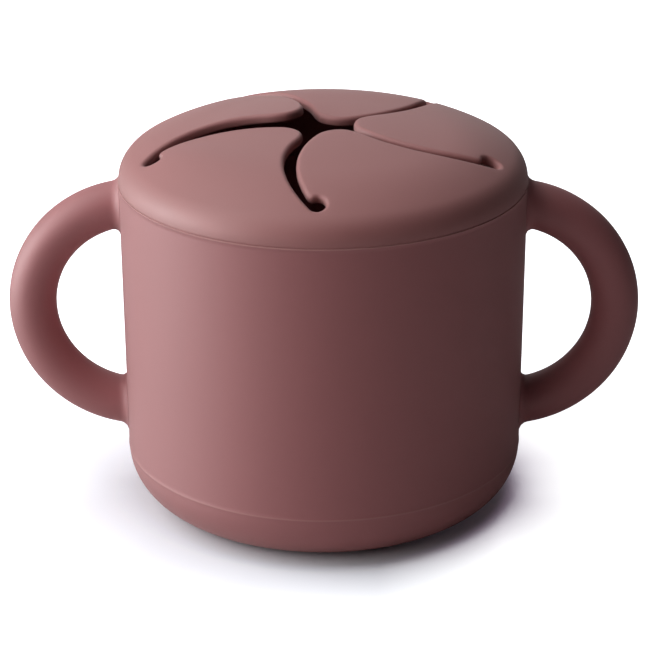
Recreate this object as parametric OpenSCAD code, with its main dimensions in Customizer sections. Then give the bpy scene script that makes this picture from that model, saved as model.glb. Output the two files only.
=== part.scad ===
// Toddler snack cup: a soft cup with two ring handles, and a domed lid
// whose middle is cut into five curved flaps that a small hand pushes in.
// The origin is on the floor under the cup's axis, and X runs through the handles.

/* [Cup] */
// Outer diameter of the cup at its rim
rim_d = 90; // [84:0.5:100]
// Height of the cup, from the base to the rim
cup_h = 74.6; // [68:0.2:90]
// How much narrower than the rim the cup is where the base corner begins
wall_taper = 1; // [0:0.1:3]
// Radius of the rounded corner between the wall and the base
base_corner_r = 12.1; // [8:0.1:16]
// Thickness of the cup's wall
wall_t = 2.8; // [2.4:0.1:3.6]
// Thickness of the cup's base
base_t = 4; // [3:0.1:6]

/* [Handles] */
// Diameter of the handle's round section
handle_d = 10.6; // [9:0.1:12]
// Radius of the handle's ring, to the middle of its section
handle_ring_r = 23.95; // [20:0.05:24.2]
// How far the ring's centre lies inside the cup's outer wall
handle_inset = 3.7; // [0:0.1:6]
// How far the ring's centre lies below the rim
handle_drop = 30; // [29.6:0.1:34]

/* [Lid dome] */
// Height of the upright edge of the lid
lid_edge_h = 0.45; // [0.2:0.05:3]
// Radius of the lid's outer corner
lid_corner_r = 6.45; // [4:0.05:9]
// Angle that the corner turns through before it meets the shoulder
lid_corner_turn = 60.8; // [50:0.2:66]
// Radius of the shoulder between the corner and the crown
shoulder_r = 42.5; // [30:0.5:60]
// Radius of the nearly flat crown
crown_r = 177; // [120:1:300]
// Thickness of the dome and of the flaps
dome_t = 2; // [1.6:0.1:2.6]

/* [Lid plug] */
// How far the plug reaches down into the cup
plug_h = 9; // [6:0.5:14]
// Thickness of the plug's wall
plug_t = 1.2; // [1:0.1:1.6]
// Half the thickness of each sealing rib
rib_r = 0.6; // [0.4:0.1:0.8]
// How far each sealing rib stands proud of the plug
rib_proud = 0.3; // [0.2:0.05:0.4]
// Depth below the rim of the upper sealing rib
rib_depth = 2.5; // [1.5:0.1:3]
// Distance between the two sealing ribs
rib_step = 3; // [2:0.1:3]
// Space between a sealing rib and the cup's wall
plug_gap = 0.3; // [0.2:0.05:0.5]

/* [Flaps] */
// Diameter of the hole at the outer end of each slit
hole_d = 3.8; // [3:0.1:4]
// Distance from the lid's edge to the middle of a hole
hole_inset = 6.6; // [6.6:0.1:9]
// Direction of the first hole, seen from above
first_hole_angle = -163.3; // [-180:0.1:-140]
// How far to the side of its hole's middle each slit starts
slit_offset = 1.6; // [1:0.1:1.8]
// How far each slit bows away from the straight line between its ends
slit_bow = 4.2; // [3:0.1:5.5]
// Width of a slit at its hole
slit_w = 1.2; // [1:0.1:1.8]
// Distance from the lid's axis to the point where a flap's tip meets the next slit
tip_r = 10.4; // [9:0.1:13]
// Angle by which that point trails the hole of its slit
tip_trail = 21; // [16:0.5:26]
// Distance from the lid's axis to the point where a flap's long edge turns into its lobe
lobe_start_r = 9.2; // [8.8:0.1:10]
// Angle by which that point trails the hole of its slit
lobe_start_trail = 10.4; // [9:0.1:14]
// How far the long edge bows away from the straight line between its ends
edge_bow = 3.8; // [3:0.1:4]
// Gap along the root line of a flap
root_gap = 0.3; // [0.2:0.05:0.5]
// Angle that a flap can be pushed in
push_in = 60; // [30:1:70]
// Angle that a flap can be pulled out
pull_out = 25; // [10:1:30]
// Angle by which the front left flap droops at rest
droop_front_left = 1.5; // [-3:0.5:6]
// Angle by which the front right flap droops at rest
droop_front_right = 0; // [-3:0.5:6]
// Angle by which the right flap droops at rest
droop_right = 2; // [-3:0.5:6]
// Angle by which the back flap droops at rest
droop_back = 4; // [-3:0.5:6]
// Angle by which the back left flap droops at rest; it stands a little up
droop_back_left = -2; // [-3:0.5:6]

/* [Hidden] */
$fn = 96;
flap_droop = [droop_front_left, droop_front_right, droop_right, droop_back, droop_back_left];
flap_count = len(flap_droop);
flap_step = 360 / flap_count;

// Cup
rim_r = rim_d / 2;
corner_top_r = rim_r - wall_taper / 2;
base_flat_r = corner_top_r - base_corner_r;
cup_inner_r = rim_r - wall_t;

// Lid profile, as centres of tangent arcs in the (radius, height above the rim) plane
edge_c = [rim_r - lid_corner_r, lid_edge_h];
shoulder_c = edge_c + (lid_corner_r - shoulder_r) * [cos(lid_corner_turn), sin(lid_corner_turn)];
crown_c = [0, shoulder_c[1] - sqrt(pow(crown_r - shoulder_r, 2) - pow(shoulder_c[0], 2))];
shoulder_turn = atan2(shoulder_c[1] - crown_c[1], shoulder_c[0]);
dome_h = crown_c[1] + crown_r;
function on_arc(c, r, a) = c + r * [cos(a), sin(a)];
corner_end = on_arc(edge_c, lid_corner_r, lid_corner_turn);
shoulder_end = on_arc(shoulder_c, shoulder_r, shoulder_turn);
// Height of the dome's top above the rim at radius r
function dome_top(r) =
    r < shoulder_end[0] ? crown_c[1] + sqrt(crown_r * crown_r - r * r) :
    r < corner_end[0] ? shoulder_c[1] + sqrt(pow(shoulder_r, 2) - pow(r - shoulder_c[0], 2)) :
    edge_c[1] + sqrt(pow(lid_corner_r, 2) - pow(r - edge_c[0], 2));

// Plug
plug_r = cup_inner_r - plug_gap - rib_proud;
band_inner_r = plug_r - plug_t;

// Slits, in a frame with the slit's hole on the +X axis. The outer edge of a slit is an
// arc from its hole to its meeting point. Its inner edge, a flap's long edge, is a
// flatter arc from the hole to the flap's lobe, so that the slit widens inwards. The lobe
// is a tighter arc from there to the next slit's meeting point.
hole_r = rim_r - hole_inset;
function turned(p, a) = [p[0] * cos(a) - p[1] * sin(a), p[0] * sin(a) + p[1] * cos(a)];
slit_start = [hole_r, -slit_offset];
slit_meet = tip_r * [cos(tip_trail), -sin(tip_trail)];
next_meet = turned(slit_meet, flap_step);
slit_run = slit_meet - slit_start;
slit_r = pow(norm(slit_run), 2) / (8 * slit_bow) + slit_bow / 2;
slit_side = [slit_run[1], -slit_run[0]] / norm(slit_run);
slit_c = (slit_start + slit_meet) / 2 + slit_side * (slit_r - slit_bow);
lobe_start = lobe_start_r * [cos(lobe_start_trail), -sin(lobe_start_trail)];
edge_run = lobe_start - slit_start;
long_edge_r = pow(norm(edge_run), 2) / (8 * edge_bow) + edge_bow / 2;
edge_side = [edge_run[1], -edge_run[0]] / norm(edge_run);
long_edge_c = (slit_start + lobe_start) / 2 + edge_side * (long_edge_r - edge_bow);
lobe_side = (long_edge_c - lobe_start) / long_edge_r;
tip_run = next_meet - lobe_start;
lobe_r = pow(norm(tip_run), 2) / (2 * tip_run * lobe_side);
lobe_c = lobe_start + lobe_side * lobe_r;

// Root line of a flap, from hole to hole, and the hinge axis along it
root_r = hole_r * cos(flap_step / 2);
root_len = 2 * hole_r * sin(flap_step / 2);
root_rise = dome_top(root_r) - dome_top(hole_r);
hinge_h = dome_top(hole_r) + root_rise / 2 - dome_t / 2;
swing_r = norm([root_gap, root_rise / 2 + dome_t / 2]) + root_gap;

far = 3 * rim_d;
overcut = 1;
// How many flats each arc of the dome's outline is made of
corner_facets = 6;
shoulder_facets = 6;
crown_facets = 3;
// Half the turn that a handle makes, past where both its ends are inside the cup
handle_half_turn = 100;

// Half section of all that lies more than depth under the dome's outer skin
module dome_section(depth) {
    polygon(concat(
        [[0, 0], [rim_r - depth, 0]],
        [for (k = [0:corner_facets]) on_arc(edge_c, lid_corner_r - depth, lid_corner_turn * k / corner_facets)],
        [for (k = [1:shoulder_facets]) on_arc(shoulder_c, shoulder_r - depth,
            lid_corner_turn + (shoulder_turn - lid_corner_turn) * k / shoulder_facets)],
        [for (k = [1:crown_facets]) on_arc(crown_c, crown_r - depth,
            shoulder_turn + (90 - shoulder_turn) * k / crown_facets)]));
}

// Plan of the room between two slits, with each slit's edge moved outwards by grow,
// from the lid's middle out to a line that lies root_shift outside the root line
module flap_room(grow, root_shift) {
    difference() {
        intersection() {
            rotate(flap_step / 2) translate([-far, -far / 2]) square([far + root_r + root_shift, far]);
            translate(slit_c) circle(slit_r + grow);
        }
        translate(turned(slit_c, flap_step)) circle(slit_r - grow);
    }
}

// The holes at the outer ends of the slits
module slit_holes() {
    for (i = [0:flap_count - 1]) rotate(i * flap_step) translate([hole_r, 0]) circle(d = hole_d);
}

// Plan of one flap: the room inside its slits, with a round lobe for its inner corner
module flap_plan() {
    difference() {
        intersection() {
            flap_room(-slit_w / 2, -root_gap / 2);
            translate(long_edge_c) circle(long_edge_r - slit_w / 2);
        }
        difference() {
            polygon([for (p = [[0, 0], far * (lobe_start - lobe_c), far * (lobe_start + next_meet - 2 * lobe_c),
                               far * (next_meet - lobe_c)]) lobe_c + p]);
            translate(lobe_c) circle(lobe_r - slit_w / 2);
        }
        slit_holes();
    }
}

// Turns what is at flap i's hinge axis, with X outwards, to its place on the lid
module at_hinge(i) {
    rotate(first_hole_angle + (i + 0.5) * flap_step) translate([root_r, 0, cup_h + hinge_h]) children();
}

// Section of the room that a flap's root edge sweeps on the outer side of its hinge axis
module root_sweep(i) {
    down = push_in + max(flap_droop[i], 0);
    up = pull_out - min(flap_droop[i], 0);
    intersection() {
        circle(swing_r);
        union() {
            polygon(far * [[0, 0], [0, -1], [1, -1], [sin(down), -cos(down)]]);
            polygon(far * [[0, 0], [0, 1], [sin(up), cos(up)]]);
        }
    }
}

module flap(i) {
    color("rosybrown") at_hinge(i) rotate([0, -flap_droop[i], 0]) translate([-root_r, 0, -hinge_h])
        rotate(-flap_step / 2) intersection() {
            rotate_extrude() difference() {
                dome_section(0);
                dome_section(dome_t);
            }
            linear_extrude(dome_h + overcut) flap_plan();
        }
}

module flap_front_left() { flap(0); }
module flap_front_right() { flap(1); }
module flap_right() { flap(2); }
module flap_back() { flap(3); }
module flap_back_left() { flap(4); }

module lid_rim() {
    color("rosybrown") difference() {
        translate([0, 0, cup_h]) difference() {
            rotate_extrude() difference() {
                dome_section(0);
                intersection() {
                    dome_section(dome_t);
                    square([band_inner_r, dome_h]);
                }
                translate([0, -overcut]) square([band_inner_r, overcut + lid_edge_h]);
            }
            rotate(first_hole_angle) translate([0, 0, lid_edge_h]) linear_extrude(dome_h) {
                for (i = [0:flap_count - 1]) rotate(i * flap_step) flap_room(slit_w / 2, root_gap / 2);
                circle(tip_r);
                slit_holes();
            }
        }
        for (i = [0:flap_count - 1]) at_hinge(i)
            rotate([90, 0, 0]) linear_extrude(root_len, center = true) root_sweep(i);
    }
}

module lid_plug() {
    color("rosybrown") translate([0, 0, cup_h]) rotate_extrude() {
        translate([band_inner_r, -plug_h]) square([plug_t, plug_h]);
        for (k = [0, 1]) intersection() {
            translate([plug_r + rib_proud - rib_r, -rib_depth - k * rib_step]) circle(rib_r);
            translate([plug_r - plug_t / 2, -plug_h]) square([plug_t, plug_h]);
        }
    }
}

// Half section of a cup: a flat base, a round corner and a wall that widens to the top
module cup_section(flat_r, bottom, corner_r, top_r) {
    corner_c = [flat_r, bottom + corner_r];
    translate([0, bottom]) square([flat_r, corner_r]);
    intersection() {
        translate(corner_c) circle(corner_r);
        translate([flat_r, bottom]) square(corner_r);
    }
    polygon([[0, corner_c[1]], [flat_r + corner_r, corner_c[1]], [top_r, cup_h], [0, cup_h]]);
}

module cup_outside() {
    rotate_extrude() cup_section(base_flat_r, 0, base_corner_r, rim_r);
}

module cup_body() {
    color("rosybrown") rotate_extrude() difference() {
        cup_section(base_flat_r, 0, base_corner_r, rim_r);
        cup_section(base_flat_r, base_t, base_corner_r - wall_t, cup_inner_r);
        translate([0, cup_h]) square([cup_inner_r, overcut]);
    }
}

// A ring handle on the side that dir points to, cut off at the cup's wall
module handle(dir) {
    color("rosybrown") difference() {
        translate([dir * (rim_r - handle_inset), 0, cup_h - handle_drop]) rotate([90, 0, 0])
            rotate(dir > 0 ? -handle_half_turn : 180 - handle_half_turn)
                rotate_extrude(angle = 2 * handle_half_turn)
                    translate([handle_ring_r, 0]) circle(d = handle_d);
        cup_outside();
    }
}

module left_handle() { handle(-1); }
module right_handle() { handle(1); }

cup_body();
left_handle();
right_handle();
lid_rim();
lid_plug();
flap_front_left();
flap_front_right();
flap_right();
flap_back();
flap_back_left();
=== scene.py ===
import math

import bmesh
import bpy
from mathutils import Matrix, Vector


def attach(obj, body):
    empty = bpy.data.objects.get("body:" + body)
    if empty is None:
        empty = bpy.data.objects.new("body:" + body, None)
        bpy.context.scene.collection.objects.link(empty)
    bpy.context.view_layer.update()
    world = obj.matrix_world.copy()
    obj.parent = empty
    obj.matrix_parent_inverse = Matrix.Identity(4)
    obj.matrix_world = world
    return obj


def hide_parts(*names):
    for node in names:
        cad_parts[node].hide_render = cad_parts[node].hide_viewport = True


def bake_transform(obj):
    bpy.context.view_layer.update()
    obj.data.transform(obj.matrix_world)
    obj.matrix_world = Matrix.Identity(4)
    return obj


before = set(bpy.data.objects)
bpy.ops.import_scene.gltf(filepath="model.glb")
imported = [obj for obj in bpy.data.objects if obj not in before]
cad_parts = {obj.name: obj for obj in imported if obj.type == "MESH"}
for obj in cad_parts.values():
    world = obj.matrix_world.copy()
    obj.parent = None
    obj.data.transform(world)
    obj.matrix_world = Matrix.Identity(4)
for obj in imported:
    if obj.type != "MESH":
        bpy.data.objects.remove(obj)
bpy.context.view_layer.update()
scene = bpy.context.scene

# ---------------------------------------------------------------- Camera
# The photograph is taken from in front, a little above the lid, with a long lens that
# keeps the cup's sides almost upright.
camera_place = Vector((0.00646, -0.54717, 0.2673))
camera_pitch = math.radians(22.633)
camera_yaw = math.radians(0.645)
camera_roll = math.radians(-0.2146)
level_view = math.radians(90)
sensor_width = 36.0
lens_in_pixels = 2631.17
image_pixels = 650
nearest_seen = 0.02
camera_data = bpy.data.cameras.new("camera")
camera_data.sensor_width = sensor_width
camera_data.lens = lens_in_pixels / image_pixels * sensor_width
camera_data.clip_start = nearest_seen
camera = bpy.data.objects.new("camera", camera_data)
scene.collection.objects.link(camera)
camera.matrix_world = (
    Matrix.Translation(camera_place)
    @ Matrix.Rotation(camera_yaw, 4, "Z")
    @ Matrix.Rotation(level_view - camera_pitch, 4, "X")
    @ Matrix.Rotation(camera_roll, 4, "Z")
)
scene.camera = camera

# ---------------------------------------------------------------- Cup
# The cup is a thick-walled moulding of soft, dusty rose silicone, a little narrower at the
# foot, with a fine parting line where its base corner starts. Its rim stands a hair proud
# of the lid's edge. Rim and parting line are painted a little paler, as painted highlights.
rim_r = 0.045
cup_h = 0.0746
foot_taper = 0.0005
base_corner_r = 0.0121
wall_t = 0.0028
base_t = 0.004
outside_r = rim_r - wall_t / 2
round_segments = 240
inner_corner_segments = 14
base_corner_segments = 24
rim_segments = 4
seam_round = 0.0001
parting_h = 0.0121
parting_w = 0.0004
parting_middle = parting_h + parting_w / 2
parting_proud = 0.00008
rim_proud = 0.00018
rim_flare_h = 0.0012
smooth_angle = math.radians(50)
tiny = 1e-6

# Matt silicone: finely blasted moulds leave it a faint grain, and it picks up a bloom.
bloom_scale, bloom_detail, bloom_roughness = 38.0, 3.0, 0.55
speck_scale, speck_detail, speck_roughness = 2600.0, 2.0, 0.6
tint_range = (0.35, 0.65)
gloss_range = (0.3, 0.7)
roughness_range = (0.62, 0.68)
grain_strength = 0.25
grain_depth = 0.00004
silicone_specular = 1.0
silicone_ior = 1.55
sheen_weight = 0.14
sheen_roughness = 0.5
cup_deep = (0.354, 0.111, 0.117, 1.0)
cup_middle = (0.362, 0.116, 0.122, 1.0)
cup_pale = (0.37, 0.121, 0.127, 1.0)
# Painted highlights: pale lines painted along the rim and the parting line, where their edges
# catch the light.
highlight_half_w = 0.0003
highlight_rim_h = cup_h - 0.0001
painted_rim_highlight = (0.45, 0.2, 0.19, 1.0)
# Painted highlight along the parting line.
painted_parting_highlight = (0.43, 0.18, 0.175, 1.0)
mix_first, mix_second, mix_result = 6, 7, 2        # a Mix node's colour sockets


def noise_node(tree, vector, scale, detail, roughness):
    """Noise over a vector."""
    node = tree.nodes.new("ShaderNodeTexNoise")
    node.inputs["Scale"].default_value = scale
    node.inputs["Detail"].default_value = detail
    node.inputs["Roughness"].default_value = roughness
    tree.links.new(vector, node.inputs["Vector"])
    return node.outputs["Fac"]


def mixed_colour(tree, factor, first, second):
    """A mix of two colours, each of them a plain colour or a socket."""
    node = tree.nodes.new("ShaderNodeMix")
    node.data_type = "RGBA"
    tree.links.new(factor, node.inputs["Factor"])
    for socket, colour in ((node.inputs[mix_first], first), (node.inputs[mix_second], second)):
        if isinstance(colour, tuple):
            socket.default_value = colour
        else:
            tree.links.new(colour, socket)
    return node.outputs[mix_result]


def range_node(tree, value, from_min, from_max, to_min=0.0, to_max=1.0):
    """A value carried from one range to another, and kept inside it."""
    node = tree.nodes.new("ShaderNodeMapRange")
    node.inputs["From Min"].default_value = from_min
    node.inputs["From Max"].default_value = from_max
    node.inputs["To Min"].default_value = to_min
    node.inputs["To Max"].default_value = to_max
    tree.links.new(value, node.inputs["Value"])
    return node.outputs["Result"]


def place_on_piece(tree):
    """The place on the piece, in its own coordinates."""
    return tree.nodes.new("ShaderNodeTexCoord").outputs["Object"]


grain = bpy.data.node_groups.new("moulded_grain", "ShaderNodeTree")
grain.interface.new_socket("Place", in_out="INPUT", socket_type="NodeSocketVector")
for output_name in ("Bloom", "Speck"):
    grain.interface.new_socket(output_name, in_out="OUTPUT", socket_type="NodeSocketFloat")
grain_in, grain_out = grain.nodes.new("NodeGroupInput"), grain.nodes.new("NodeGroupOutput")
place = grain_in.outputs["Place"]
bloom_noise = noise_node(grain, place, bloom_scale, bloom_detail, bloom_roughness)
speck_noise = noise_node(grain, place, speck_scale, speck_detail, speck_roughness)
grain.links.new(bloom_noise, grain_out.inputs["Bloom"])
grain.links.new(speck_noise, grain_out.inputs["Speck"])


def silicone_material(name, deep, middle_tone, pale):
    """Matt silicone in three close shades, with a bloom of cloudy patches and a fine grain."""
    material = bpy.data.materials.new(name)
    material.use_nodes = True
    tree = material.node_tree
    shader = tree.nodes["Principled BSDF"]
    surface = tree.nodes.new("ShaderNodeGroup")
    surface.node_tree = grain
    tree.links.new(place_on_piece(tree), surface.inputs["Place"])
    bloom, speck = surface.outputs["Bloom"], surface.outputs["Speck"]
    tint = mixed_colour(tree, range_node(tree, bloom, *tint_range), deep, pale)
    speck_share = range_node(tree, speck, *tint_range, *tint_range)
    tint = mixed_colour(tree, speck_share, tint, middle_tone)
    tree.links.new(tint, shader.inputs["Base Color"])
    roughness = range_node(tree, bloom, *gloss_range, *roughness_range)
    tree.links.new(roughness, shader.inputs["Roughness"])
    bump = tree.nodes.new("ShaderNodeBump")
    bump.inputs["Strength"].default_value = grain_strength
    bump.inputs["Distance"].default_value = grain_depth
    tree.links.new(speck, bump.inputs["Height"])
    tree.links.new(bump.outputs["Normal"], shader.inputs["Normal"])
    shader.inputs["Specular IOR Level"].default_value = silicone_specular
    shader.inputs["IOR"].default_value = silicone_ior
    shader.inputs["Sheen Weight"].default_value = sheen_weight
    shader.inputs["Sheen Roughness"].default_value = sheen_roughness
    return material


def painted_highlight_line(material, height, colour):
    """Paints a paler level line on the silicone, a painted highlight where an edge catches the
    light.
    """
    tree = material.node_tree
    base = tree.nodes["Principled BSDF"].inputs["Base Color"]
    axes = tree.nodes.new("ShaderNodeSeparateXYZ")
    tree.links.new(place_on_piece(tree), axes.inputs["Vector"])
    overlap = tree.nodes.new("ShaderNodeMath")
    overlap.operation = "MULTIPLY"
    for socket, way in zip(overlap.inputs, (-1, 1)):
        slope = range_node(tree, axes.outputs["Z"], height + way * highlight_half_w, height)
        tree.links.new(slope, socket)
    tint = base.links[0].from_socket
    tree.links.new(mixed_colour(tree, overlap.outputs["Value"], tint, colour), base)


cup_silicone = silicone_material("cup_silicone", cup_deep, cup_middle, cup_pale)
# Painted highlights along the rim and along the parting line.
painted_highlight_line(cup_silicone, highlight_rim_h, painted_rim_highlight)
painted_highlight_line(cup_silicone, parting_middle, painted_parting_highlight)


def start_piece(name):
    """Names the primitive just made, puts its place into its mesh and opens edit mode."""
    piece = bpy.context.object
    piece.name = piece.data.name = name
    bpy.ops.object.transform_apply(location=True, rotation=True, scale=True)
    bpy.ops.object.mode_set(mode="EDIT")
    bpy.ops.mesh.select_mode(type="VERT")
    bpy.ops.mesh.select_all(action="DESELECT")
    return piece


def pick(kind, test):
    """Selects, in edit mode, only the elements of that kind that pass the test."""
    mesh = bpy.context.object.data
    shape = bmesh.from_edit_mesh(mesh)
    modes = tuple(kind == mode for mode in ("verts", "edges", "faces"))
    bpy.context.tool_settings.mesh_select_mode = modes
    for collection in (shape.faces, shape.edges, shape.verts):
        for element in collection:
            element.select = False
    for element in getattr(shape, kind):
        if test(element):
            element.select_set(True)
    bmesh.update_edit_mesh(mesh)


def middle(element):
    """The middle of an edge or face."""
    return sum((v.co for v in element.verts), Vector()) / len(element.verts)


def widen(scale):
    """Scales what is selected about the cup's axis."""
    bpy.ops.transform.resize(value=(scale, scale, 1), center_override=(0, 0, 0))


def stand_proud(test, proud):
    """Moves out the vertices of the cup's outside whose height passes the test."""
    pick("verts", lambda v: v.co.xy.length > outside_r and test(v.co.z))
    widen(1 + proud / rim_r)


def finish_piece(piece, silicone):
    """Closes edit mode, puts the piece's place into its mesh and gives it its finish."""
    bpy.ops.mesh.select_all(action="SELECT")
    bpy.ops.mesh.normals_make_consistent(inside=False)
    bpy.ops.object.mode_set(mode="OBJECT")
    bpy.ops.object.select_all(action="DESELECT")
    piece.select_set(True)
    bpy.context.view_layer.objects.active = piece
    bpy.ops.object.transform_apply(location=True, rotation=True, scale=True)
    bpy.ops.object.shade_smooth_by_angle(angle=smooth_angle)
    piece.data.materials.clear()
    piece.data.materials.append(silicone)
    piece.select_set(False)


bpy.ops.object.select_all(action="DESELECT")
bpy.ops.mesh.primitive_cylinder_add(
    vertices=round_segments, radius=rim_r, depth=cup_h, location=(0, 0, cup_h / 2))
cup = start_piece("cup")
foot_scale = 1 - foot_taper / rim_r * cup_h / (cup_h - base_corner_r)
pick("verts", lambda v: v.co.z < tiny)
widen(foot_scale)
pick("faces", lambda f: middle(f).z > cup_h - tiny)
bpy.ops.mesh.inset(thickness=wall_t)
bpy.ops.mesh.extrude_region_move(TRANSFORM_OT_translate={"value": (0, 0, base_t - cup_h)})
widen(foot_scale)
pick("edges", lambda e: all(abs(v.co.z - base_t) < tiny for v in e.verts))
bpy.ops.mesh.bevel(
    offset=base_corner_r - wall_t, segments=inner_corner_segments, affect="EDGES")
pick("edges", lambda e: all(v.co.z < tiny for v in e.verts))
bpy.ops.mesh.bevel(offset=base_corner_r, segments=base_corner_segments, affect="EDGES")
pick("edges", lambda e: all(abs(v.co.z - cup_h) < tiny for v in e.verts))
bpy.ops.mesh.bevel(offset=seam_round, segments=rim_segments, affect="EDGES")
for cut_h in (parting_h - 2 * parting_w, parting_middle, parting_h + parting_w,
              parting_h + 3 * parting_w, cup_h - rim_flare_h, cup_h - 4 * seam_round):
    bpy.ops.mesh.select_all(action="SELECT")
    bpy.ops.mesh.bisect(plane_co=(0, 0, cut_h), plane_no=(0, 0, 1))
stand_proud(lambda z: abs(z - parting_middle) < tiny, parting_proud)
stand_proud(lambda z: z > cup_h - 2 * seam_round, rim_proud)
finish_piece(cup, cup_silicone)
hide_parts("cup_body")
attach(cup, "cup")

# ---------------------------------------------------------------- Handles
# Two silicone rings of round section, one at each side for a small hand, are moulded in
# one with the cup. Each joins the wall with a small fillet above and below.
handle_r = 0.0053
handle_ring_r = 0.02395
handle_inset = 0.0037
handle_drop = 0.03
ring_steps = 160
section_steps = 40
fillet_r = 0.0018
fillet_steps = 8
quarter_turn = math.radians(90)
root_depth = 0.0008
farthest_turn = math.radians(115)
halvings = 40
stick_h = 1.0


def wall_gap(point):
    """How far a point lies outside the cup's wall, along X and Y."""
    lean = foot_taper / (cup_h - base_corner_r)
    return math.hypot(point.x, point.y) - (rim_r - lean * (cup_h - point.z))


def ring_point(side, turn, around, radius):
    """A point of the handle: turn goes along the ring and around goes round its section."""
    out = handle_ring_r + radius * math.cos(around)
    return Vector((
        side * (rim_r - handle_inset + out * math.cos(turn)),
        radius * math.sin(around),
        cup_h - handle_drop + out * math.sin(turn)))


def turn_at_gap(side, end, around, radius, gap):
    """The turn at which that line of the handle is gap away from the wall."""
    low, high = 0.0, farthest_turn
    for _ in range(halvings):
        turn = (low + high) / 2
        if wall_gap(ring_point(side, end * turn, around, radius)) > gap:
            low = turn
        else:
            high = turn
    return low


def bent_point(side, row, rows, around):
    """Where a point of the straight stick goes when it is bent into the handle."""
    end = 1 if row < rows / 2 else -1
    steps_in = max(fillet_steps + 1 - row, row - (rows - fillet_steps - 1), 0)
    if steps_in == 0:
        first, last = (turn_at_gap(side, e, around, handle_r, fillet_r) for e in (1, -1))
        share = (row - fillet_steps - 1) / (rows - 2 * fillet_steps - 2)
        return ring_point(side, first - share * (first + last), around, handle_r)
    radius, gap = handle_r, -root_depth
    if steps_in <= fillet_steps:
        bend = quarter_turn * steps_in / fillet_steps
        radius = handle_r + fillet_r * (1 - math.cos(bend))
        gap = fillet_r * (1 - math.sin(bend))
    turn = end * turn_at_gap(side, end, around, radius, gap)
    return ring_point(side, turn, around, radius)


for side, name in ((-1, "left_handle"), (1, "right_handle")):
    bpy.ops.object.select_all(action="DESELECT")
    rows = ring_steps + 2 * fillet_steps + 2
    bpy.ops.mesh.primitive_cylinder_add(
        vertices=section_steps, radius=handle_r, depth=stick_h, end_fill_type="NGON",
        location=(0, 0, stick_h / 2))
    handle = start_piece(name + "_moulding")
    pick("edges", lambda e: abs(e.verts[0].co.z - e.verts[1].co.z) > stick_h / 2)
    bpy.ops.mesh.subdivide(number_cuts=rows - 1)
    shape = bmesh.from_edit_mesh(handle.data)
    for vert in shape.verts:
        row = round(vert.co.z / stick_h * rows)
        vert.co = bent_point(side, row, rows, math.atan2(vert.co.y, vert.co.x))
    bmesh.update_edit_mesh(handle.data)
    finish_piece(handle, cup_silicone)
    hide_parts(name)
    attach(handle, "cup")

# ---------------------------------------------------------------- Lid
# The lid is a second silicone moulding, a shade greyer: a flat dome with an upright edge
# that stands on the cup's rim. Five curved slits, each ending in a round hole, part its
# middle into five flaps; a flap's root is the straight line from hole to hole.
lid_edge_h = 0.00045
lid_corner_r = 0.00645
lid_corner_turn = math.radians(60.8)
shoulder_r = 0.0425
crown_r = 0.177
dome_t = 0.002
seat_r = 0.0404
lid_foot_round = 0.00003
corner_steps = 12
flap_count = 5
flap_step = math.radians(360 / flap_count)
hole_r = 0.0019
hole_ring_r = 0.0384
first_hole_angle = math.radians(-163.3)
slit_w = 0.0012
slit_c, slit_r = Vector((0.022389, 0.019808)), 0.02673
lid_zone_r = 0.0415
lid_zone_inner_r = lid_zone_r - 0.0003
sector_steps = 48
cell = 0.001
arc_step = 0.0006
edge_round, edge_segments = 0.0009, 5
edge_round_under, under_segments = 0.0003, 2
half_steep = 0.5
root_line_w = 5e-6
root_cut = 0.0001
root_cut_reach = 0.0215
root_cut_from, root_cut_to = -0.0002, 0.003
weld_loop = 2e-6
weld_cells = 0.00002
lid_deep = (0.362, 0.134, 0.132, 1.0)
lid_middle = (0.37, 0.139, 0.137, 1.0)
lid_pale = (0.378, 0.144, 0.142, 1.0)
lid_silicone = silicone_material("lid_silicone", lid_deep, lid_middle, lid_pale)

edge_c = (rim_r - lid_corner_r, lid_edge_h)
shoulder_c = tuple(
    c + (lid_corner_r - shoulder_r) * f(lid_corner_turn)
    for c, f in zip(edge_c, (math.cos, math.sin)))
crown_z = shoulder_c[1] - math.sqrt((crown_r - shoulder_r) ** 2 - shoulder_c[0] ** 2)
shoulder_turn = math.atan2(shoulder_c[1] - crown_z, shoulder_c[0])
crown_end_r = shoulder_c[0] + shoulder_r * math.cos(shoulder_turn)


def dome_point(x, y, depth):
    """A point under the dome's skin at that plan position, depth deep along its normal."""
    r = math.hypot(x, y)
    if r < crown_end_r:
        centre, arc_r = (0.0, crown_z), crown_r
    else:
        centre, arc_r = shoulder_c, shoulder_r
    lean = math.asin((r - centre[0]) / arc_r)
    out = centre[0] + (arc_r - depth) * math.sin(lean)
    up = cup_h + centre[1] + (arc_r - depth) * math.cos(lean)
    unit = Vector((x, y)) / r if r > tiny else Vector((0, 0))
    return Vector((unit.x * out, unit.y * out, up))


def turned(point, angle):
    """A plan point turned about the lid's axis."""
    c, s = math.cos(angle), math.sin(angle)
    return Vector((point[0] * c - point[1] * s, point[0] * s + point[1] * c))


def circle_meet(c0, r0, c1, r1, near):
    """The crossing of two circles that is nearest to a point."""
    gap = (c1 - c0).length
    along = (gap * gap + r0 * r0 - r1 * r1) / (2 * gap)
    up = math.sqrt(max(r0 * r0 - along * along, 0))
    unit = (c1 - c0) / gap
    side = Vector((-unit.y, unit.x))
    crossings = (c0 + unit * along + side * s * up for s in (1, -1))
    return min(crossings, key=lambda p: (p - near).length)


def line_meet(point, way, centre, radius):
    """The farther crossing of a circle and the line from a point, the way it heads."""
    along = (centre - point).dot(way)
    off = (point + way * along - centre).length
    return point + way * (along + math.sqrt(radius * radius - off * off))


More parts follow.
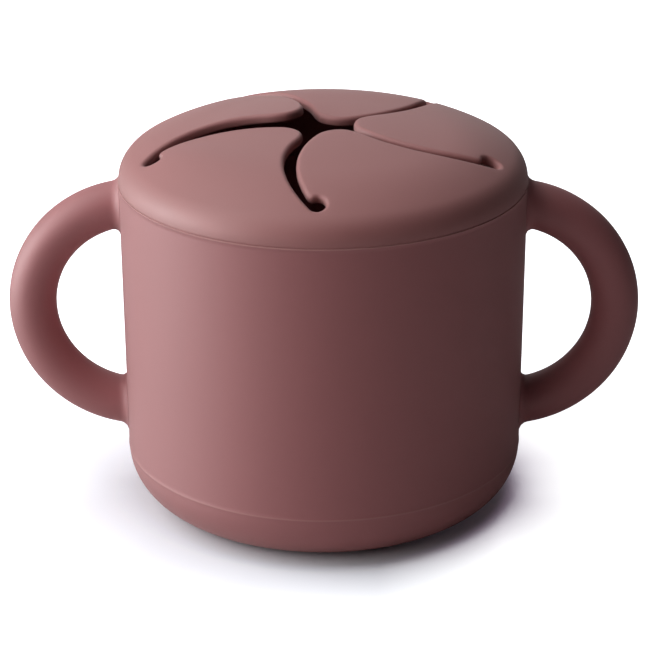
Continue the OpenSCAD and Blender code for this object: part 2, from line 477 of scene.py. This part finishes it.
def arc_between(centre, radius, start, end, way):
    """Points along an arc from one plan point to another, way +1 for anticlockwise."""
    first, last = (math.atan2(p[1] - centre[1], p[0] - centre[0]) for p in (start, end))
    while (last - first) * way < 0:
        last += way * 2 * math.pi
    count = max(2, round(abs(last - first) * radius / arc_step))
    angles = [first + (last - first) * k / count for k in range(count + 1)]
    return [
        Vector((centre[0] + radius * math.cos(a), centre[1] + radius * math.sin(a)))
        for a in angles]


def add_face(name, loops):
    """A new mesh object with one flat face for each closed loop of plan points."""
    bpy.ops.object.select_all(action="DESELECT")
    mesh = bpy.data.meshes.new(name)
    piece = bpy.data.objects.new(name, mesh)
    scene.collection.objects.link(piece)
    shape = bmesh.new()
    for loop in loops:
        shape.faces.new([shape.verts.new((p[0], p[1], 0)) for p in loop])
    bmesh.ops.remove_doubles(shape, verts=shape.verts, dist=weld_loop)
    bmesh.ops.recalc_face_normals(shape, faces=shape.faces)
    if shape.faces[:][0].normal.z < 0:
        bmesh.ops.reverse_faces(shape, faces=shape.faces)
    shape.to_mesh(mesh)
    shape.free()
    bpy.context.view_layer.objects.active = piece
    piece.select_set(True)
    bpy.ops.object.mode_set(mode="EDIT")
    return piece


def thicken(is_free):
    """Gives the flat face its thickness and rounds the free edges, above and below."""
    bpy.ops.mesh.select_all(action="SELECT")
    bpy.ops.mesh.extrude_region_move(TRANSFORM_OT_translate={"value": (0, 0, -dome_t)})
    pick("edges", lambda e: all(v.co.z > -tiny for v in e.verts) and is_free(e))
    bpy.ops.mesh.bevel(
        offset=edge_round, segments=edge_segments, affect="EDGES", clamp_overlap=False)
    pick("edges", lambda e: all(v.co.z < tiny - dome_t for v in e.verts) and is_free(e))
    bpy.ops.mesh.bevel(
        offset=edge_round_under, segments=under_segments, affect="EDGES", clamp_overlap=False)


def cut_cells(low, high):
    """Cuts the flat shape into small cells, so that it can follow the dome."""
    for axis, normal in enumerate(((1, 0, 0), (0, 1, 0))):
        first, last = math.ceil(low[axis] / cell), math.floor(high[axis] / cell)
        for k in range(first, last + 1):
            at = (k + 0.5) * cell
            bpy.ops.mesh.select_all(action="SELECT")
            bpy.ops.mesh.bisect(plane_co=[at * n for n in normal], plane_no=normal)


def weld_all():
    """Merges the points that the cuts have left on top of each other."""
    bpy.ops.mesh.select_all(action="SELECT")
    bpy.ops.mesh.remove_doubles(threshold=weld_cells)


def root_frame(index):
    """The plan frame of flap index: the middle of its root line and its outward direction."""
    angle = first_hole_angle + (index + 0.5) * flap_step
    out = Vector((math.cos(angle), math.sin(angle)))
    return out * (hole_ring_r * math.cos(flap_step / 2)), out


def near_root(edge, index):
    """True where an edge lies on flap index's root line."""
    root, out = root_frame(index)
    return all(abs((Vector(v.co.xy) - root).dot(out)) < root_line_w for v in edge.verts)


def outer_edge(element):
    """True at the outer edge of the lid's cut zone."""
    return middle(element).xy.length > lid_zone_inner_r


def is_lip(edge):
    """True along the lips of the slits and holes."""
    steep = any(abs(f.normal.z) < half_steep for f in edge.link_faces)
    return (steep and middle(edge).xy.length < lid_zone_inner_r
            and not any(near_root(edge, k) for k in range(flap_count)))


def by_root(face, root, out):
    """True for a face that lies just outside a flap's root line."""
    place = Vector(middle(face).xy) - root
    return (abs(place.cross(out)) < root_cut_reach
            and root_cut_from < place.dot(out) < root_cut_to)


def extrude_loop(start, path):
    """Draws the selected round loop out along a path of (radius, height) points."""
    for r, z in path:
        bpy.ops.mesh.extrude_edges_move(TRANSFORM_OT_translate={"value": (0, 0, z - start[1])})
        widen(r / start[0])
        start = (r, z)


hole = Vector((hole_ring_r, 0))
last_hole, next_hole = turned(hole, -flap_step), turned(hole, flap_step)
root_back, root_on = (last_hole - hole).normalized(), (next_hole - hole).normalized()
slit_out_r = slit_r + slit_w / 2
slit_end_near = Vector((hole_ring_r + 0.001, -0.002))
slit_end = circle_meet(hole, hole_r, slit_c, slit_out_r, slit_end_near)
slit_start = line_meet(hole, root_back, slit_c, slit_out_r)
inner = [(last_hole + hole) / 2]
inner += arc_between(slit_c, slit_out_r, slit_start, slit_end, 1)
inner += arc_between(hole, hole_r, slit_end, hole + root_on * hole_r, 1)[1:]
inner += [(hole + next_hole) / 2]
outer = [
    turned((lid_zone_r, 0), flap_step * (0.5 - j / sector_steps))
    for j in range(sector_steps + 1)]
lid = add_face("lid", [
    [turned(p, first_hole_angle + k * flap_step) for p in inner + outer]
    for k in range(flap_count)])
thicken(is_lip)
cut_cells((-lid_zone_r, -lid_zone_r), (lid_zone_r, lid_zone_r))
for k in range(flap_count):
    root, out = root_frame(k)
    pick("faces", lambda f: by_root(f, root, out))
    bpy.ops.mesh.bisect(plane_co=(*(root + out * root_cut), 0), plane_no=(*out, 0))
weld_all()
pick("faces", lambda f: abs(f.normal.z) < half_steep and outer_edge(f))
bpy.ops.mesh.delete(type="ONLY_FACE")
shape = bmesh.from_edit_mesh(lid.data)
for vert in shape.verts:
    vert.co = dome_point(vert.co.x, vert.co.y, -vert.co.z)
bmesh.update_edit_mesh(lid.data)

corner = [lid_corner_turn * (1 - k / corner_steps) for k in range(corner_steps + 1)]
skin = [
    (edge_c[0] + lid_corner_r * math.cos(a), cup_h + edge_c[1] + lid_corner_r * math.sin(a))
    for a in corner]
seam = [(rim_r, cup_h + lid_foot_round), (rim_r - lid_foot_round, cup_h)]
top_end = dome_point(lid_zone_r, 0, 0)
pick("edges", lambda e: len(e.link_faces) == 1 and outer_edge(e))
extrude_loop((top_end.x, top_end.z), skin + seam + [(seat_r, cup_h)])
pick("edges", lambda e: len(e.link_faces) == 1)
bpy.ops.mesh.bridge_edge_loops()
finish_piece(lid, lid_silicone)
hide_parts("lid_rim")
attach(lid, "lid")

# ---------------------------------------------------------------- Plug
# The plug under the lid, moulded in one with it, is a thin silicone sleeve with two round
# ribs, which seals the lid in the cup's mouth.
plug_r = 0.0416
plug_h = 0.009
plug_round = 0.0003
rib_r = 0.0006
rib_proud = 0.0003
rib_depths = (0.0055, 0.0025)
rib_steps = 8
bpy.ops.object.select_all(action="DESELECT")
bpy.ops.mesh.primitive_circle_add(vertices=round_segments, radius=seat_r, location=(0, 0, cup_h))
plug = start_piece("plug")
bpy.ops.mesh.select_all(action="SELECT")
foot_z = cup_h - plug_h
sleeve = [(seat_r, foot_z + plug_round), (seat_r + plug_round, foot_z),
          (plug_r - plug_round, foot_z), (plug_r, foot_z + plug_round)]
rib_reach = math.acos((rib_r - rib_proud) / rib_r)
rib_c = plug_r + rib_proud - rib_r
for depth in rib_depths:
    rises = [rib_reach * (2 * k / rib_steps - 1) for k in range(rib_steps + 1)]
    sleeve += [(rib_c + rib_r * math.cos(a), cup_h - depth + rib_r * math.sin(a)) for a in rises]
extrude_loop((seat_r, cup_h), sleeve + [(plug_r, cup_h)])
pick("edges", lambda e: len(e.link_faces) == 1)
bpy.ops.mesh.bridge_edge_loops()
finish_piece(plug, lid_silicone)
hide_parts("lid_plug")
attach(plug, "lid")

# ---------------------------------------------------------------- Flaps
# Five soft flaps are cut out of the lid's silicone dome and stay joined to it along their
# roots. Each has taken a droop and a twist of its own in use, given here in degrees.
flaps = (("front_left", 1.4, 1.6), ("front_right", -0.6, 0.4), ("right", 0.9, 0.6),
         ("back", 3.4, -0.6), ("back_left", -2.6, 2.2))
bend_reach = 0.012
long_edge_c, long_edge_r = Vector((0.02367, 0.02481)), 0.03024
lobe_c, lobe_r = Vector((0.01239, 0.00439)), 0.00691
mouth_near = Vector((hole_ring_r - 0.002, -0.001))
tip_near = Vector((0.0066, 0.0075))
mouth_soft = 0.0014
tip_soft = 0.0022
soft_steps = 8


def soft_join(before, after, reach):
    """Two runs of points joined by a soft corner that starts reach away from it."""
    corner = after[0]
    before = [p for p in before if (p - corner).length > reach]
    after = [p for p in after if (p - corner).length > reach]
    a, b = before[-1], after[0]
    shares = [k / soft_steps for k in range(1, soft_steps)]
    bend = [a.lerp(corner, t).lerp(corner.lerp(b, t), t) for t in shares]
    return before + bend + after


def flap_outline():
    """Plan outline of a flap in the frame of its first slit's hole."""
    next_c = turned(slit_c, flap_step)
    edge_r, small = long_edge_r - slit_w / 2, lobe_r - slit_w / 2
    mouth = circle_meet(hole, hole_r, long_edge_c, edge_r, mouth_near)
    join = long_edge_c + (lobe_c - long_edge_c).normalized() * edge_r
    tip = circle_meet(lobe_c, small, next_c, slit_out_r, tip_near)
    root_end = line_meet(next_hole, -root_on, next_c, slit_out_r)
    loop = arc_between(hole, hole_r, hole + root_on * hole_r, mouth, 1)
    loop = soft_join(loop, arc_between(long_edge_c, edge_r, mouth, join, -1), mouth_soft)
    loop += arc_between(lobe_c, small, join, tip, -1)[1:]
    return soft_join(loop, arc_between(next_c, slit_out_r, tip, root_end, 1), tip_soft)


def eased(share):
    """A share from 0 to 1 that starts and ends softly."""
    share = min(max(share, 0), 1)
    return share * share * (3 - 2 * share)


outline = flap_outline()
for index, (name, droop, twist) in enumerate(flaps):
    plan = [turned(p, first_hole_angle + index * flap_step) for p in outline]
    flap = add_face("flap_" + name + "_moulding", [plan])
    root, out = root_frame(index)
    thicken(lambda e: not near_root(e, index))
    low, high = ([limit(p[axis] for p in plan) for axis in (0, 1)] for limit in (min, max))
    cut_cells(low, high)
    bpy.ops.mesh.select_all(action="SELECT")
    bpy.ops.mesh.bisect(plane_co=(*(root - out * root_cut), 0), plane_no=(*out, 0))
    weld_all()
    hinge = dome_point(*root, dome_t / 2)
    along = Vector((-out.y, out.x, 0))
    shape = bmesh.from_edit_mesh(flap.data)
    for vert in shape.verts:
        share = eased((root - Vector(vert.co.xy)).dot(out) / bend_reach)
        point = dome_point(vert.co.x, vert.co.y, -vert.co.z)
        turn = Matrix.Rotation(-math.radians(droop) * share, 3, along)
        turn = turn @ Matrix.Rotation(math.radians(twist) * share, 3, (*out, 0))
        vert.co = hinge + turn @ (point - hinge)
    bmesh.update_edit_mesh(flap.data)
    finish_piece(flap, lid_silicone)
    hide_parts("flap_" + name)
    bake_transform(flap)

# ---------------------------------------------------------------- Paper floor
# The cup stands on white paper. To the camera a soft fill lifts the paper to white, and
# dies away where the cup's foot shuts it in; the shadow is tighter on the cup's right.
floor_size = 6.0
paper_bounce = (0.62, 0.52, 0.53, 1)
paper_roughness = 0.9
paper_specular = 0.1
paper_seen = (0.89, 0.905, 0.97, 1)
shut_in_reach = 0.1
shut_in_samples = 32
right_from_x, right_to_x = 0.012, 0.04
left_fill = (
    (0.4, (0.0, 0.0, 0.0, 1)), (0.52, (0.06, 0.055, 0.065, 1)), (0.63, (0.2, 0.195, 0.21, 1)),
    (0.7, (0.33, 0.325, 0.34, 1)), (0.83, (1, 1, 1, 1)))
right_fill = (
    (0.34, (0.03, 0.025, 0.03, 1)), (0.44, (0.14, 0.11, 0.15, 1)), (0.5, (0.42, 0.39, 0.44, 1)),
    (0.58, (0.76, 0.74, 0.78, 1)), (0.68, (1, 1, 1, 1)))
bpy.ops.object.select_all(action="DESELECT")
bpy.ops.mesh.primitive_plane_add(size=floor_size, location=(0, 0, 0))
floor = bpy.context.object
floor.name = "floor"
paper = bpy.data.materials.new("white_paper")
paper.use_nodes = True
paper_tree = paper.node_tree
paper_link = paper_tree.links.new


def fill_ramp(open_share, stops):
    """The fill's colour for how open the paper is."""
    ramp = paper_tree.nodes.new("ShaderNodeValToRGB")
    paper_link(open_share, ramp.inputs["Fac"])
    elements = ramp.color_ramp.elements
    elements.remove(elements[1])
    elements[0].position, elements[0].color = stops[0]
    for at, colour in stops[1:]:
        elements.new(at).color = colour
    return ramp.outputs["Color"]


paper_plain = paper_tree.nodes["Principled BSDF"]
paper_plain.inputs["Base Color"].default_value = paper_bounce
paper_plain.inputs["Roughness"].default_value = paper_roughness
paper_plain.inputs["Specular IOR Level"].default_value = paper_specular
paper_lit = paper_tree.nodes.new("ShaderNodeBsdfDiffuse")
paper_lit.inputs["Color"].default_value = paper_seen
shut_in = paper_tree.nodes.new("ShaderNodeAmbientOcclusion")
shut_in.inputs["Distance"].default_value = shut_in_reach
shut_in.samples = shut_in_samples
paper_axes = paper_tree.nodes.new("ShaderNodeSeparateXYZ")
paper_link(place_on_piece(paper_tree), paper_axes.inputs["Vector"])
fills = [fill_ramp(shut_in.outputs["AO"], stops) for stops in (left_fill, right_fill)]
right_share = range_node(paper_tree, paper_axes.outputs["X"], right_from_x, right_to_x)
paper_fill = paper_tree.nodes.new("ShaderNodeEmission")
paper_link(mixed_colour(paper_tree, right_share, *fills), paper_fill.inputs["Color"])
paper_sum = paper_tree.nodes.new("ShaderNodeAddShader")
paper_link(paper_lit.outputs[0], paper_sum.inputs[0])
paper_link(paper_fill.outputs[0], paper_sum.inputs[1])
paper_mix = paper_tree.nodes.new("ShaderNodeMixShader")
paper_paths = paper_tree.nodes.new("ShaderNodeLightPath")
paper_link(paper_paths.outputs["Is Camera Ray"], paper_mix.inputs["Fac"])
paper_link(paper_plain.outputs[0], paper_mix.inputs[1])
paper_link(paper_sum.outputs[0], paper_mix.inputs[2])
paper_link(paper_mix.outputs[0], paper_tree.nodes["Material Output"].inputs["Surface"])
floor.data.materials.append(paper)

# ---------------------------------------------------------------- Room
# The room beyond the paper is white to the camera and gives no light of its own: the
# soft boxes alone light the cup.
white = (1, 1, 1, 1)
world = bpy.data.worlds.new("studio")
scene.world = world
world.use_nodes = True
room = world.node_tree
room_dark = room.nodes["Background"]
room_white = room.nodes.new("ShaderNodeBackground")
for background, strength in ((room_dark, 0.0), (room_white, 1.0)):
    background.inputs["Color"].default_value = white
    background.inputs["Strength"].default_value = strength
room_mix = room.nodes.new("ShaderNodeMixShader")
room_paths = room.nodes.new("ShaderNodeLightPath")
room.links.new(room_paths.outputs["Is Camera Ray"], room_mix.inputs["Fac"])
room.links.new(room_dark.outputs[0], room_mix.inputs[1])
room.links.new(room_white.outputs[0], room_mix.inputs[2])
room.links.new(room_mix.outputs[0], room.nodes["World Output"].inputs["Surface"])

# ---------------------------------------------------------------- Soft boxes
# Ten soft boxes stand in front to the left, at the left and behind, 0.9 m away. Two show
# as gloss alone, and four, a little cooler, leave no gloss. Each has its azimuth and
# elevation in degrees, its power, and what it lights.
lamp_target = Vector((0, 0, 0.04))
lamp_reach = 0.9
lamp_size = 0.6
plain_light = (1.0, 1.0, 1.0)
cool_light = (0.955, 1.0, 0.985)
gloss_alone, no_gloss, both = (False, True), (True, False), (True, True)
soft_boxes = (
    ("left_floor", -90, -5, 16.5, gloss_alone),
    ("front_left_floor", -70, 0, 1.9, gloss_alone),
    ("left_low", -90, 12, 1.7, no_gloss),
    ("left_middle", -75, 25, 2.45, no_gloss),
    ("left_high", -90, 45, 3.5, no_gloss),
    ("front_left_high", -45, 30, 1.4, no_gloss),
    ("left_top", -90, 72, 1.8, both),
    ("left_back", -120, 45, 0.4, both),
    ("back_low", 180, 12, 0.85, both),
    ("back_high", 180, 45, 0.7, both))
for name, azimuth, elevation, power, (diffuse, glossy) in soft_boxes:
    turn, rise = math.radians(azimuth), math.radians(elevation)
    light = bpy.data.lights.new(name, "AREA")
    light.shape = "SQUARE"
    light.size = lamp_size
    light.energy = power
    light.color = plain_light if glossy else cool_light
    lamp = bpy.data.objects.new(name, light)
    scene.collection.objects.link(lamp)
    away = Vector((
        math.sin(turn) * math.cos(rise), -math.cos(turn) * math.cos(rise), math.sin(rise)))
    lamp.location = lamp_target + away * lamp_reach
    lamp.rotation_euler = away.to_track_quat("Z", "Y").to_euler()
    lamp.visible_camera = False
    lamp.visible_diffuse = diffuse
    lamp.visible_glossy = glossy

# ---------------------------------------------------------------- Picture
# The picture shows colours as they are written.
scene.view_settings.view_transform = "Standard"
